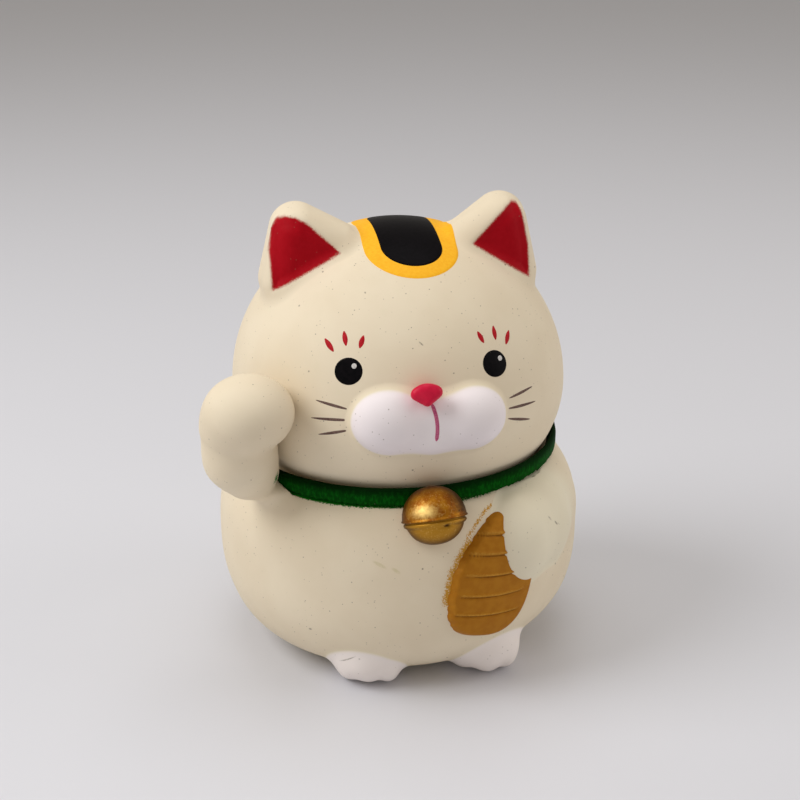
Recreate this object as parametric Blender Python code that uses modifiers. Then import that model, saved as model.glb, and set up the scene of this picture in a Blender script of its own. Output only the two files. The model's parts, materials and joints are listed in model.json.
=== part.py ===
"""A beckoning cat figurine: hollow castings, painted details and a head that turns on its neck.

The cat faces -Y and stands on z = 0, and the z axis is the axis of its neck. Its own right
side, with the raised arm, is at -X. Lengths are metres.
"""

import math

import bmesh
import bpy
from mathutils import Matrix, Vector

MM = 0.001
GAP = 0.3 * MM
WALL = 2.0 * MM
STEPS = 40

# Head: round in plan, and a little taller above its widest level than below it.
HEAD_RADIUS = 36.0 * MM
HEAD_CENTRE_Z = 58.9 * MM
HEAD_RISE = 34.6 * MM
HEAD_DROP = 28.4 * MM

# Body: a squarish round, cut flat at the floor and at the neck.
BODY_RADIUS = 39.8 * MM
BODY_CENTRE_Z = 26.3 * MM
BODY_RISE = 24.6 * MM
BODY_DROP = 28.4 * MM
BODY_POWER = 2.7

# Neck: the head sits in a cup in the body, held by a flanged stud through its neck hole.
CUP_GAP = 0.6 * MM
RIM_RADIUS = 33.3 * MM
RIM_Z = 45.4 * MM
NECK_HOLE_RADIUS = 8.4 * MM
STUD_RADIUS = 7.6 * MM
STUD_ROOT_Z = 29.5 * MM
FLANGE_RADIUS = 9.6 * MM
FLANGE_LOW_Z = 34.2 * MM
FLANGE_TOP_Z = 36.2 * MM

# Collar: a band round the rim, standing in the step below it.
COLLAR_LOW_Z = 43.0 * MM
COLLAR_TOP_Z = 46.0 * MM
COLLAR_OUTER_RADIUS = 34.8 * MM
COLLAR_ROUNDING = 0.5 * MM

# Base hole and its soft stopper, behind the centre of the base.
HOLE_CENTRE_Y = 10.0 * MM
HOLE_RADIUS = 6.0 * MM
STOPPER_RECESS = 0.5 * MM
STOPPER_HEIGHT = 5.0 * MM
STOPPER_TAPER = 0.5 * MM

# Coin: an oval plate laid on the chest, leaning a little to the cat's left.
KOBAN_CENTRE = (12.8, -38.0, 27.0)
KOBAN_HALF_LENGTH = 13.8 * MM
KOBAN_HALF_WIDTH = 9.2 * MM
KOBAN_LEAN = math.radians(10.0)
KOBAN_HEIGHT = 1.5 * MM
KOBAN_GROOVES = 5
KOBAN_GROOVE_DEPTH = 0.5 * MM
KOBAN_GROOVE_WIDTH = 0.8 * MM

# Bell: two half shells joined by a band, as one casting.
BELL_CENTRE = (0.6, -38.2, 42.4)
BELL_RADIUS = 6.3 * MM
BELL_HALF_HEIGHT = 5.8 * MM
BELL_BAND_RADIUS = 6.8 * MM
BELL_BAND_HALF_HEIGHT = 0.6 * MM
BELL_ROLL = math.radians(-6.0)
BELL_PITCH = math.radians(14.0)

# Where a ball of each limb sits, and its half sizes along x, y and z, in millimetres.
PAW_BALL = ((-35.2, -28.4, 63.5), (9.2, 8.8, 7.9))
FOREARM_BALLS = [
    ((-37.0, -26.0, 57.0), (8.0, 7.6, 7.6)),
    ((-36.4, -24.0, 50.0), (7.5, 7.2, 7.2)),
    ((-32.0, -18.5, 42.0), (7.2, 7.2, 6.5)),
]
LEFT_ARM_BALLS = [
    ((30.0, -11.5, 35.0), (7.5, 8.0, 10.5)),
    ((24.6, -23.4, 33.0), (8.0, 8.0, 11.6)),
    ((19.4, -30.4, 32.6), (8.2, 7.6, 10.2)),
]
EAR_BALLS = [
    ((20.4, -6.4, 96.4), (3.6, 3.0, 3.6)),
    ((24.0, 1.0, 92.0), (4.6, 3.6, 4.6)),
    ((25.6, -5.5, 80.5), (4.4, 3.6, 4.4)),
    ((26.0, 2.0, 81.0), (4.4, 4.0, 4.4)),
    ((11.3, -8.0, 89.2), (4.0, 3.4, 4.0)),
    ((12.0, 0.5, 88.5), (4.0, 4.0, 4.0)),
]
MUZZLE_BALLS = [
    ((-7.3, -33.2, 62.3), (8.0, 5.6, 6.6)),
    ((8.1, -33.2, 62.5), (7.8, 5.6, 6.5)),
    ((0.5, -34.2, 58.4), (5.4, 4.4, 3.6)),
    ((0.5, -34.0, 63.5), (6.0, 4.6, 4.6)),
]
NOSE_BALLS = [
    ((-3.0, -38.1, 69.0), (1.3, 1.2, 1.2)),
    ((1.2, -38.1, 69.1), (1.3, 1.2, 1.2)),
    ((-0.9, -38.9, 67.6), (1.1, 1.1, 1.1)),
]
RIGHT_FOOT_CENTRE = (-11.4, -24.6, 3.0)
LEFT_FOOT_CENTRE = (14.2, -24.4, 3.0)
TOE_SPACING = 4.9
TAIL_BALLS = [
    ((0.0, 37.5, 15.0), (5.0, 5.0, 5.0)),
    ((0.0, 40.0, 20.0), (4.2, 3.8, 4.6)),
]

CREAM = (0.80, 0.72, 0.55)
WHITE = (0.86, 0.80, 0.76)
RED = (0.45, 0.01, 0.02)
GREEN = (0.01, 0.10, 0.01)
GOLD = (0.32, 0.17, 0.03)
DARK_RUBBER = (0.05, 0.05, 0.05)


def clear_scene():
    for obj in list(bpy.data.objects):
        bpy.data.objects.remove(obj, do_unlink=True)


def new_collection(name):
    collection = bpy.data.collections.new(name)
    bpy.context.scene.collection.children.link(collection)
    return collection


def painted(name, colour, roughness=0.6, metallic=0.0):
    material = bpy.data.materials.new(name)
    material.use_nodes = True
    shader = material.node_tree.nodes["Principled BSDF"]
    shader.inputs["Base Color"].default_value = (*colour, 1.0)
    shader.inputs["Roughness"].default_value = roughness
    shader.inputs["Metallic"].default_value = metallic
    return material


def add_object(name, mesh, collection):
    obj = bpy.data.objects.new(name, mesh)
    collection.objects.link(obj)
    return obj


def as_cutter(obj):
    obj.hide_render = True
    obj.display_type = "WIRE"
    return obj


def boolean(obj, other, operation="DIFFERENCE"):
    modifier = obj.modifiers.new(f"{operation.lower()}_{other.name}", "BOOLEAN")
    modifier.operation = operation
    modifier.object = other


def shade(obj, material):
    obj.data.materials.append(material)
    obj.data.shade_smooth()
    obj.data.set_sharp_from_angle(angle=math.radians(35.0))


def at(point):
    """A point given in millimetres, in metres."""
    return Vector(point) * MM


def mirrored(balls):
    """The same balls on the other side of the x = 0 plane."""
    return [((-x, y, z), radii) for (x, y, z), radii in balls]


def ball_into(mesh, ball, grow=0.0, segments=20, rings=12):
    """Adds one ellipsoid to a bmesh, made larger by grow on every side."""
    centre, radii = ball
    size = [radius * MM + grow for radius in radii]
    place = Matrix.Translation(at(centre)) @ Matrix.Diagonal((*size, 1.0))
    return bmesh.ops.create_uvsphere(
        mesh, u_segments=segments, v_segments=rings, radius=1.0, matrix=place
    )


def ball_object(name, ball, collection, grow=0.0, segments=20, rings=12):
    mesh = bmesh.new()
    ball_into(mesh, ball, grow, segments, rings)
    data = bpy.data.meshes.new(name)
    mesh.to_mesh(data)
    mesh.free()
    return add_object(name, data, collection)


def hull_object(name, balls, collection, grow=0.0, segments=14, rings=8):
    """The convex hull of several ellipsoids: a rounded limb."""
    source = bmesh.new()
    for ball in balls:
        ball_into(source, ball, grow, segments, rings)
    mesh = bmesh.new()
    for vertex in source.verts:
        mesh.verts.new(vertex.co)
    source.free()
    bmesh.ops.convex_hull(mesh, input=list(mesh.verts))
    loose = [vertex for vertex in mesh.verts if not vertex.link_faces]
    bmesh.ops.delete(mesh, geom=loose, context="VERTS")
    bmesh.ops.recalc_face_normals(mesh, faces=list(mesh.faces))
    data = bpy.data.meshes.new(name)
    mesh.to_mesh(data)
    mesh.free()
    return add_object(name, data, collection)


def cylinder_object(name, radius, low, high, collection, segments=STEPS):
    """An upright cylinder round its own z axis, from low to high."""
    mesh = bmesh.new()
    place = Matrix.Translation((0.0, 0.0, (low + high) / 2.0))
    bmesh.ops.create_cone(
        mesh, cap_ends=True, segments=segments, radius1=radius, radius2=radius,
        depth=high - low, matrix=place,
    )
    data = bpy.data.meshes.new(name)
    mesh.to_mesh(data)
    mesh.free()
    return add_object(name, data, collection)


def turned_object(name, profile, collection, steps=STEPS):
    """A profile of (radius, height) points, from the top down its outer side, turned round z."""
    data = bpy.data.meshes.new(name)
    points = [(radius, 0.0, height) for radius, height in profile]
    edges = [(i, i + 1) for i in range(len(points) - 1)]
    if points[0][0] > 0.0:
        edges.append((len(points) - 1, 0))
    data.from_pydata(points, edges, [])
    obj = add_object(name, data, collection)
    screw = obj.modifiers.new("turn", "SCREW")
    screw.steps = steps
    screw.render_steps = steps
    screw.use_merge_vertices = True
    screw.merge_threshold = 1e-6
    return obj


def oval_profile(radius, centre_z, rise, drop, power=2.0, start=90.0, stop=-90.0, count=18):
    """Points down a superellipse's outer side, from one angle in degrees to another."""
    points = []
    for i in range(count + 1):
        angle = math.radians(start + (stop - start) * i / count)
        across = max(math.cos(angle), 0.0)
        up = math.sin(angle)
        half = rise if up > 0.0 else drop
        height = math.copysign(abs(up) ** (2.0 / power), up) * half
        points.append((radius * across ** (2.0 / power), centre_z + height))
    points[0] = (0.0, points[0][1]) if start == 90.0 else points[0]
    points[-1] = (0.0, points[-1][1]) if stop == -90.0 else points[-1]
    return points


def head_profile(grow=0.0, stop=-90.0, count=18):
    return oval_profile(
        HEAD_RADIUS + grow, HEAD_CENTRE_Z, HEAD_RISE + grow, HEAD_DROP + grow,
        stop=stop, count=count,
    )


def body_radius(height, grow=0.0):
    """The body's outer radius at a height."""
    half = BODY_RISE if height > BODY_CENTRE_Z else BODY_DROP
    share = min(abs(height - BODY_CENTRE_Z) / (half + grow), 1.0)
    return (BODY_RADIUS + grow) * (1.0 - share ** BODY_POWER) ** (1.0 / BODY_POWER)


def body_outline(low, high, grow=0.0, count=16):
    """Points down the body's outer side between two heights, closer together near its ends."""
    points = []
    for i in range(count + 1):
        blend = 0.5 + 0.5 * math.cos(math.pi * i / count)
        height = low + (high - low) * blend
        points.append((body_radius(height, grow), height))
    return points


def neck_hole_angle(radius, reach):
    """The angle in degrees below the level of the centre at which an oval meets a radius."""
    return -math.degrees(math.acos(radius / reach))


def make_cutters(tools):
    """The clearance shapes that several pieces are cut with."""
    body_low = -2.0 * MM
    return {
        "head": as_cutter(turned_object("clear_head", head_profile(GAP), tools)),
        "head_turning": as_cutter(turned_object("clear_turning_head", head_profile(CUP_GAP), tools)),
        "body": as_cutter(
            turned_object(
                "clear_body",
                [(0.0, COLLAR_TOP_Z)]
                + [(body_radius(COLLAR_TOP_Z, GAP), COLLAR_TOP_Z)]
                + body_outline(body_low, COLLAR_TOP_Z - GAP, GAP)
                + [(0.0, body_low)],
                tools,
            )
        ),
        "collar": as_cutter(
            turned_object(
                "clear_collar",
                [
                    (0.0, COLLAR_TOP_Z + GAP),
                    (COLLAR_OUTER_RADIUS + GAP, COLLAR_TOP_Z + GAP),
                    (COLLAR_OUTER_RADIUS + GAP, COLLAR_LOW_Z - GAP),
                    (0.0, COLLAR_LOW_Z - GAP),
                ],
                tools,
            )
        ),
        "floor": as_cutter(cylinder_object("clear_floor", 80.0 * MM, -20.0 * MM, 0.0, tools)),
    }


def make_cavity(tools):
    """The hollow inside the body: one wall inside its outside and one wall under the cup."""
    cavity = turned_object(
        "body_cavity",
        [(0.0, RIM_Z)]
        + body_outline(WALL, RIM_Z - WALL, -WALL)
        + [(0.0, WALL)],
        tools,
    )
    under_cup = turned_object("cup_underside", head_profile(CUP_GAP + WALL), tools)
    boolean(cavity, as_cutter(under_cup))
    return as_cutter(cavity)


def make_stud(tools):
    """The flanged neck stud that stands in the cup."""
    profile = [
        (0.0, FLANGE_TOP_Z),
        (FLANGE_RADIUS - 1.0 * MM, FLANGE_TOP_Z),
        (FLANGE_RADIUS, FLANGE_TOP_Z - 1.0 * MM),
        (FLANGE_RADIUS, FLANGE_LOW_Z),
        (STUD_RADIUS, FLANGE_LOW_Z),
        (STUD_RADIUS, STUD_ROOT_Z),
        (0.0, STUD_ROOT_Z),
    ]
    return as_cutter(turned_object("neck_stud", profile, tools))


def make_body_shell(parts, tools, cutters):
    """The hollow body, with the step for the collar, the neck cup, the stud and the base hole."""
    step_z = COLLAR_LOW_Z - GAP
    profile = (
        [(0.0, RIM_Z), (RIM_RADIUS, RIM_Z), (RIM_RADIUS, step_z)]
        + body_outline(0.0, step_z)
        + [(0.0, 0.0)]
    )
    shell = turned_object("body_shell", profile, parts)
    boolean(shell, cutters["head_turning"])
    boolean(shell, make_cavity(tools))
    boolean(shell, make_stud(tools), "UNION")
    hole = cylinder_object("base_hole", HOLE_RADIUS, -2.0 * MM, WALL + 2.0 * MM, tools, 24)
    hole.location.y = HOLE_CENTRE_Y
    boolean(shell, as_cutter(hole))
    shade(shell, painted("body_cream", CREAM))
    return shell


def make_head_shell(parts):
    """The hollow head, open at the neck hole."""
    outer = head_profile(stop=neck_hole_angle(NECK_HOLE_RADIUS, HEAD_RADIUS))
    inner = head_profile(-WALL, stop=neck_hole_angle(NECK_HOLE_RADIUS, HEAD_RADIUS - WALL), count=14)
    shell = turned_object("head_shell", outer + inner[::-1], parts)
    shade(shell, painted("head_cream", CREAM))
    return shell


def make_ear(name, balls, parts, cutters):
    ear = hull_object(name, balls, parts)
    boolean(ear, cutters["head"])
    shade(ear, painted(f"{name}_cream", CREAM))
    return ear


def make_muzzle(parts, tools, cutters):
    muzzle = ball_object("muzzle", MUZZLE_BALLS[0], parts)
    for index, ball in enumerate(MUZZLE_BALLS[1:]):
        lobe = ball_object(f"muzzle_lobe_{index}", ball, tools)
        boolean(muzzle, as_cutter(lobe), "UNION")
    boolean(muzzle, cutters["head"])
    shade(muzzle, painted("muzzle_white", WHITE))
    return muzzle


def make_nose(parts, tools, cutters):
    """A small rounded triangle, cut to sit on the muzzle."""
    nose = hull_object("nose", NOSE_BALLS, parts, segments=10, rings=6)
    for index, ball in enumerate(MUZZLE_BALLS):
        lobe = ball_object(f"clear_muzzle_{index}", ball, tools, grow=GAP)
        boolean(nose, as_cutter(lobe))
    boolean(nose, cutters["head"])
    shade(nose, painted("nose_red", RED, roughness=0.45))
    return nose


def make_raised_arm(parts, tools, cutters):
    arm = hull_object("raised_arm", FOREARM_BALLS, parts)
    paw = ball_object("raised_paw", PAW_BALL, tools)
    boolean(arm, as_cutter(paw), "UNION")
    for name in ("body", "collar", "head_turning"):
        boolean(arm, cutters[name])
    shade(arm, painted("raised_arm_cream", CREAM))
    return arm


def make_left_arm(parts, cutters, koban_clearance):
    arm = hull_object("left_arm", LEFT_ARM_BALLS, parts)
    for name in ("body", "collar"):
        boolean(arm, cutters[name])
    boolean(arm, koban_clearance)
    shade(arm, painted("left_arm_cream", CREAM))
    return arm


def oval_prism(name, grow, collection):
    """An upright oval slab through the chest, facing the way the coin faces."""
    slab = cylinder_object(name, 1.0, -12.0 * MM, 12.0 * MM, collection, 36)
    width = KOBAN_HALF_WIDTH + grow
    length = KOBAN_HALF_LENGTH + grow
    slab.data.transform(Matrix.Diagonal((width, length, 1.0, 1.0)))
    slab.matrix_world = koban_frame()
    return slab


def koban_frame():
    """x across the coin, y up its length and z out of the chest."""
    turn = math.atan2(KOBAN_CENTRE[0], -KOBAN_CENTRE[1])
    facing = Matrix.Rotation(turn, 4, "Z") @ Matrix.Rotation(math.radians(90.0), 4, "X")
    return Matrix.Translation(at(KOBAN_CENTRE)) @ facing @ Matrix.Rotation(-KOBAN_LEAN, 4, "Z")


def chest_layer(name, grow, tools):
    """The body's outside, grown, as a cutter for what is laid on it."""
    profile = (
        [(0.0, COLLAR_LOW_Z)]
        + body_outline(2.0 * MM, COLLAR_LOW_Z, grow)
        + [(0.0, 2.0 * MM)]
    )
    return as_cutter(turned_object(name, profile, tools))


def make_koban(parts, tools):
    """The coin follows the chest's curve, with grooves across its face."""
    koban = oval_prism("koban", 0.0, parts)
    boolean(koban, chest_layer("koban_face", KOBAN_HEIGHT, tools), "INTERSECT")
    boolean(koban, chest_layer("koban_back", GAP, tools))
    inner_face = chest_layer("groove_floor", KOBAN_HEIGHT - KOBAN_GROOVE_DEPTH, tools)
    pitch = 2.0 * KOBAN_HALF_LENGTH / (KOBAN_GROOVES + 1)
    for index in range(KOBAN_GROOVES):
        along = (index - (KOBAN_GROOVES - 1) / 2.0) * pitch
        groove = groove_bar(f"koban_groove_{index}", along, tools)
        boolean(groove, inner_face)
        boolean(koban, groove)
    shade(koban, painted("koban_gold", GOLD, roughness=0.45, metallic=0.6))
    return koban


def groove_bar(name, along, tools):
    """A level bar across the coin, at a distance up its length."""
    mesh = bmesh.new()
    bmesh.ops.create_cube(mesh, size=1.0)
    data = bpy.data.meshes.new(name)
    mesh.to_mesh(data)
    mesh.free()
    data.transform(Matrix.Diagonal((30.0 * MM, KOBAN_GROOVE_WIDTH, 20.0 * MM, 1.0)))
    bar = as_cutter(add_object(name, data, tools))
    level = Matrix.Rotation(KOBAN_LEAN, 4, "Z")
    bar.matrix_world = koban_frame() @ Matrix.Translation((0.0, along, 0.0)) @ level
    return bar


def make_collar(parts):
    """A round band with eased edges."""
    inner = RIM_RADIUS + GAP
    outer = COLLAR_OUTER_RADIUS
    ease = COLLAR_ROUNDING
    profile = [
        (inner, COLLAR_TOP_Z),
        (outer - ease, COLLAR_TOP_Z),
        (outer, COLLAR_TOP_Z - ease),
        (outer, COLLAR_LOW_Z + ease),
        (outer - ease, COLLAR_LOW_Z),
        (inner, COLLAR_LOW_Z),
    ]
    collar = turned_object("collar", profile, parts)
    shade(collar, painted("collar_green", GREEN))
    return collar


def bell_profile():
    """Half an oval above the band, the band, and half an oval below it."""
    half = BELL_BAND_HALF_HEIGHT
    upper = oval_profile(BELL_RADIUS, 0.0, BELL_HALF_HEIGHT, BELL_HALF_HEIGHT, start=90.0, stop=6.0, count=7)
    lower = [(radius, -height) for radius, height in reversed(upper)]
    return upper + [(BELL_BAND_RADIUS, half), (BELL_BAND_RADIUS, -half)] + lower


def make_bell(parts, cutters):
    bell = turned_object("bell", bell_profile(), parts, 28)
    bell.location = at(BELL_CENTRE)
    bell.rotation_euler = (BELL_PITCH, BELL_ROLL, 0.0)
    for name in ("body", "collar", "head_turning"):
        boolean(bell, cutters[name])
    shade(bell, painted("bell_gold", GOLD, roughness=0.3, metallic=0.9))
    return bell


def make_foot(name, centre, parts, tools, cutters):
    """A flat-bottomed foot with three round toes."""
    x, y, z = centre
    foot = ball_object(name, ((x, y, z + 1.7), (7.3, 7.1, 4.9)), parts, segments=18, rings=10)
    for index in range(3):
        side = index - 1
        toe_y = y - 3.8 + 0.7 * abs(side)
        toe = ((x + side * TOE_SPACING, toe_y, z + 0.65), (3.2, 3.9, 4.3))
        toe_ball = ball_object(f"{name}_toe_{index}", toe, tools, segments=14, rings=8)
        boolean(foot, as_cutter(toe_ball), "UNION")
    boolean(foot, cutters["body"])
    boolean(foot, cutters["floor"])
    shade(foot, painted(f"{name}_white", WHITE))
    return foot


def make_tail(parts, cutters):
    tail = hull_object("tail", TAIL_BALLS, parts)
    boolean(tail, cutters["body"])
    shade(tail, painted("tail_cream", CREAM))
    return tail


def make_base_stopper(parts):
    """A soft tapered plug, set up into the base so that it stays clear of the floor."""
    radius = HOLE_RADIUS - GAP
    profile = [
        (0.0, STOPPER_HEIGHT),
        (radius - STOPPER_TAPER, STOPPER_HEIGHT),
        (radius, STOPPER_RECESS),
        (0.0, STOPPER_RECESS),
    ]
    stopper = turned_object("base_stopper", profile, parts, 24)
    stopper.location.y = HOLE_CENTRE_Y
    shade(stopper, painted("stopper_rubber", DARK_RUBBER, roughness=0.8))
    return stopper


def turn_with_head(pieces):
    """Parents the head's pieces to an empty on the neck's axis."""
    axis = bpy.data.objects.new("head_axis", None)
    bpy.context.scene.collection.objects.link(axis)
    axis.location = (0.0, 0.0, HEAD_CENTRE_Z - HEAD_DROP)
    bpy.context.view_layer.update()
    for piece in pieces:
        piece.parent = axis
        piece.matrix_parent_inverse = axis.matrix_world.inverted()


def main():
    clear_scene()
    parts = new_collection("cat_figurine")
    tools = new_collection("cutters")
    cutters = make_cutters(tools)
    make_body_shell(parts, tools, cutters)
    head_pieces = [
        make_head_shell(parts),
        make_ear("right_ear", mirrored(EAR_BALLS), parts, cutters),
        make_ear("left_ear", EAR_BALLS, parts, cutters),
        make_muzzle(parts, tools, cutters),
        make_nose(parts, tools, cutters),
    ]
    turn_with_head(head_pieces)
    make_collar(parts)
    make_bell(parts, cutters)
    make_koban(parts, tools)
    make_raised_arm(parts, tools, cutters)
    koban_clearance = as_cutter(oval_prism("clear_koban", GAP, tools))
    boolean(koban_clearance, chest_layer("clear_koban_face", KOBAN_HEIGHT + GAP, tools), "INTERSECT")
    make_left_arm(parts, cutters, koban_clearance)
    make_foot("right_foot", RIGHT_FOOT_CENTRE, parts, tools, cutters)
    make_foot("left_foot", LEFT_FOOT_CENTRE, parts, tools, cutters)
    make_tail(parts, cutters)
    make_base_stopper(parts)


main()
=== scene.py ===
"""The looks of the beckoning cat figurine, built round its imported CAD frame.

Shapes are worked out in millimetres in the frame's own axes: the cat faces -Y and its raised
arm is at -X. A field is a function from points to their distance outside a shape, near enough.
"""

import json
import math

import bpy
import numpy as np
from mathutils import Matrix, Vector

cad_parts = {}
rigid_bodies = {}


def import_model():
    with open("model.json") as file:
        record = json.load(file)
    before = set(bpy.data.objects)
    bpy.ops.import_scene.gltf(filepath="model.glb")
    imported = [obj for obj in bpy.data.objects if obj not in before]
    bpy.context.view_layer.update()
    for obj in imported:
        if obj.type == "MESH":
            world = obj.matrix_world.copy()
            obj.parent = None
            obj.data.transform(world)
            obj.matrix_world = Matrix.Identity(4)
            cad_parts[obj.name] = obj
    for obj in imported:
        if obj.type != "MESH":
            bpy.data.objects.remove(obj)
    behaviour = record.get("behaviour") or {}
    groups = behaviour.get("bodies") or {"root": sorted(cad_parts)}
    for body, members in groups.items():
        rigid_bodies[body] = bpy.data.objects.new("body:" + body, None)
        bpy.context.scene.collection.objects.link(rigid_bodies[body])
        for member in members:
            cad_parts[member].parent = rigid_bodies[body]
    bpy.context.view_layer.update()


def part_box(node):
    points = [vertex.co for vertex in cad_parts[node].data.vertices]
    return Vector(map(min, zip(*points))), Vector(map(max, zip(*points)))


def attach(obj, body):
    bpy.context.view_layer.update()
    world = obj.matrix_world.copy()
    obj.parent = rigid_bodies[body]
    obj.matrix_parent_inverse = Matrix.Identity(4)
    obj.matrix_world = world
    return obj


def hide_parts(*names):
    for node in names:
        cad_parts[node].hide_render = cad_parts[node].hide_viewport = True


MM = 0.001
for leftover in list(bpy.data.objects):
    bpy.data.objects.remove(leftover)
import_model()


def corners(node):
    """A CAD node's lowest and highest corner, in millimetres."""
    low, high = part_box(node)
    return np.array(low) / MM, np.array(high) / MM


def middle(node):
    low, high = corners(node)
    return (low + high) / 2.0


def beside(node, offsets):
    """Points given from the middle of a CAD node's box, in the frame."""
    return middle(node) + np.asarray(offsets, float)


def room(node, below, above):
    """A CAD node's corners, moved outwards by a margin below and one above."""
    low, high = corners(node)
    return low - below, high + above


# Head and body, as in the CAD. The collar stands on the ledge of the shoulder.
HEAD_RADIUS = 36.0
HEAD_RISE = 34.6
HEAD_DROP = 28.4
HEAD_CENTRE = np.array([0.0, 0.0, corners("head_shell")[1][2] - HEAD_RISE])
NECK_HOLE_RADIUS = 8.4
WALL = 2.0
BODY_RADIUS = corners("body_shell")[1][0]
BODY_CENTRE_Z = 26.3
BODY_RISE = 24.6
BODY_DROP = 28.4
BODY_POWER = 2.7
RIM_Z = corners("body_shell")[1][2]
RIM_RADIUS = 33.3
LEDGE_Z = corners("collar")[0][2] - 0.3
CUP_GAP = 0.6
STUD_RADIUS = 7.6
FLANGE_RADIUS = 9.6
FLANGE_LOW_Z = 34.2
FLANGE_TOP_Z = 36.2

# The hand-cast body leans at its foot, and its collar was brushed on a little aslant.
BODY_LEAN = 1.3
BODY_LEAN_TOP = 15.0
COLLAR_LIFT = 0.3
COLLAR_TILT = 0.8

# A limb's skin runs out just under its host's skin. It closes at the skirt's depth, and the
# skirt goes past the fillet by its margin.
SINK = 0.012
SKIRT_DEPTH = 1.2
SKIRT_MARGIN = 0.6
CELL = 0.5


# ---- fields


def oval(centre, radii, drop=None):
    """An ellipsoid, whose lower half may have a height of its own."""
    centre = np.asarray(centre, float)
    radii = np.asarray(radii, float)

    def field(points):
        offset = points - centre
        size = np.tile(radii, (len(points), 1))
        if drop is not None:
            size[offset[:, 2] < 0.0, 2] = drop
        scaled = np.maximum(np.linalg.norm(offset / size, axis=1), 1e-3)
        slope = np.linalg.norm(offset / size**2, axis=1)
        return scaled * (scaled - 1.0) / np.maximum(slope, 1e-3 / radii.max())

    return field


def tapered(start, end, start_radius, end_radius):
    """A round bar whose radius changes evenly from one end to the other."""
    start = np.asarray(start, float)
    along = np.asarray(end, float) - start

    def field(points):
        share = np.clip((points - start) @ along / (along @ along), 0.0, 1.0)
        nearest = start + share[:, None] * along
        radius = start_radius + (end_radius - start_radius) * share
        return np.linalg.norm(points - nearest, axis=1) - radius

    return field


def outline_gap(flat, tips):
    """Signed distance in a plane to convex outlines, one for each point."""
    turn = np.roll(tips, -1, axis=1) - tips
    sense = np.sign(turn[:, 0, 0] * turn[:, 1, 1] - turn[:, 0, 1] * turn[:, 1, 0])
    inside = np.ones(len(flat), bool)
    nearest = np.full(len(flat), np.inf)
    for i in range(tips.shape[1]):
        edge = turn[:, i]
        offset = flat - tips[:, i]
        inside &= (edge[:, 0] * offset[:, 1] - edge[:, 1] * offset[:, 0]) * sense > 0.0
        share = np.clip((offset * edge).sum(axis=1) / (edge * edge).sum(axis=1), 0.0, 1.0)
        nearest = np.minimum(nearest, np.linalg.norm(offset - share[:, None] * edge, axis=1))
    return np.where(inside, -nearest, nearest)


def wedge(front, back, front_y, back_y, radius):
    """A rounded solid whose level section goes from one triangle (x, z) to another along y."""
    front, back = np.array(front, float), np.array(back, float)

    def field(points):
        share = np.clip((points[:, 1] - front_y) / (back_y - front_y), 0.0, 1.0)
        tips = front + share[:, None, None] * (back - front)
        across = outline_gap(points[:, [0, 2]], tips)
        along = np.maximum(front_y - points[:, 1], points[:, 1] - back_y)
        outside = np.hypot(np.maximum(across, 0.0), np.maximum(along, 0.0))
        return outside + np.minimum(np.maximum(across, along), 0.0) - radius

    return field


def triangle(a, b, c, radius):
    """A flat triangle thickened by a radius on every side."""
    tips = np.array([a, b, c], float)
    normal = np.cross(tips[1] - tips[0], tips[2] - tips[0])
    normal /= np.linalg.norm(normal)

    def field(points):
        inside = np.ones(len(points), bool)
        nearest = np.full(len(points), np.inf)
        for first, second in zip(tips, np.roll(tips, -1, axis=0)):
            edge = second - first
            offset = points - first
            inside &= offset @ np.cross(normal, edge) >= 0.0
            share = np.clip(offset @ edge / (edge @ edge), 0.0, 1.0)
            gap = np.linalg.norm(offset - share[:, None] * edge, axis=1)
            nearest = np.minimum(nearest, gap)
        to_plane = np.abs((points - tips[0]) @ normal)
        return np.where(inside, to_plane, nearest) - radius

    return field


def merge(a, b, reach):
    """Two distances joined with a fillet, which starts where they differ by reach."""
    blend = np.maximum(reach - np.abs(a - b), 0.0) / reach
    return np.minimum(a, b) - blend * blend * reach * 0.25


def merged(fields, reach):
    def field(points):
        values = fields[0](points)
        for other in fields[1:]:
            values = merge(values, other(points), reach)
        return values

    return field


def smooth(values, low, high):
    """0 up to low and 1 from high, turning smoothly in between."""
    share = np.clip((values - low) / (high - low), 0.0, 1.0)
    return share * share * (3.0 - 2.0 * share)


head = oval(HEAD_CENTRE, (HEAD_RADIUS, HEAD_RADIUS, HEAD_RISE), HEAD_DROP)


def body_lean(points):
    """How far the foot of the hand-cast body stands towards -x."""
    return BODY_LEAN * (1.0 - smooth(points[:, 2], 0.0, BODY_LEAN_TOP))


def body(points):
    """The body's superellipse, turned round z, with its slight lean."""
    points = points + body_lean(points)[:, None] * (1.0, 0.0, 0.0)
    up = points[:, 2] - BODY_CENTRE_Z
    half = np.where(up > 0.0, BODY_RISE, BODY_DROP)
    across = np.maximum(np.hypot(points[:, 0], points[:, 1]) / BODY_RADIUS, 1e-3)
    height = np.maximum(np.abs(up) / half, 1e-3)
    level = (across**BODY_POWER + height**BODY_POWER) ** (1.0 / BODY_POWER)
    power = BODY_POWER - 1.0
    slope = np.hypot(across**power / BODY_RADIUS, height**power / half)
    return (level - 1.0) * level**power / slope


def body_radius(height, grow=0.0):
    """The upright body's radius at a height."""
    half = BODY_RISE if height > BODY_CENTRE_Z else BODY_DROP
    share = min(abs(height - BODY_CENTRE_Z) / (half + grow), 1.0)
    return (BODY_RADIUS + grow) * (1.0 - share**BODY_POWER) ** (1.0 / BODY_POWER)


def collar_lift(points):
    """How far the brushed collar rides above level, more on the +x side."""
    return COLLAR_LIFT + COLLAR_TILT * points[:, 0] / RIM_RADIUS


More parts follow.
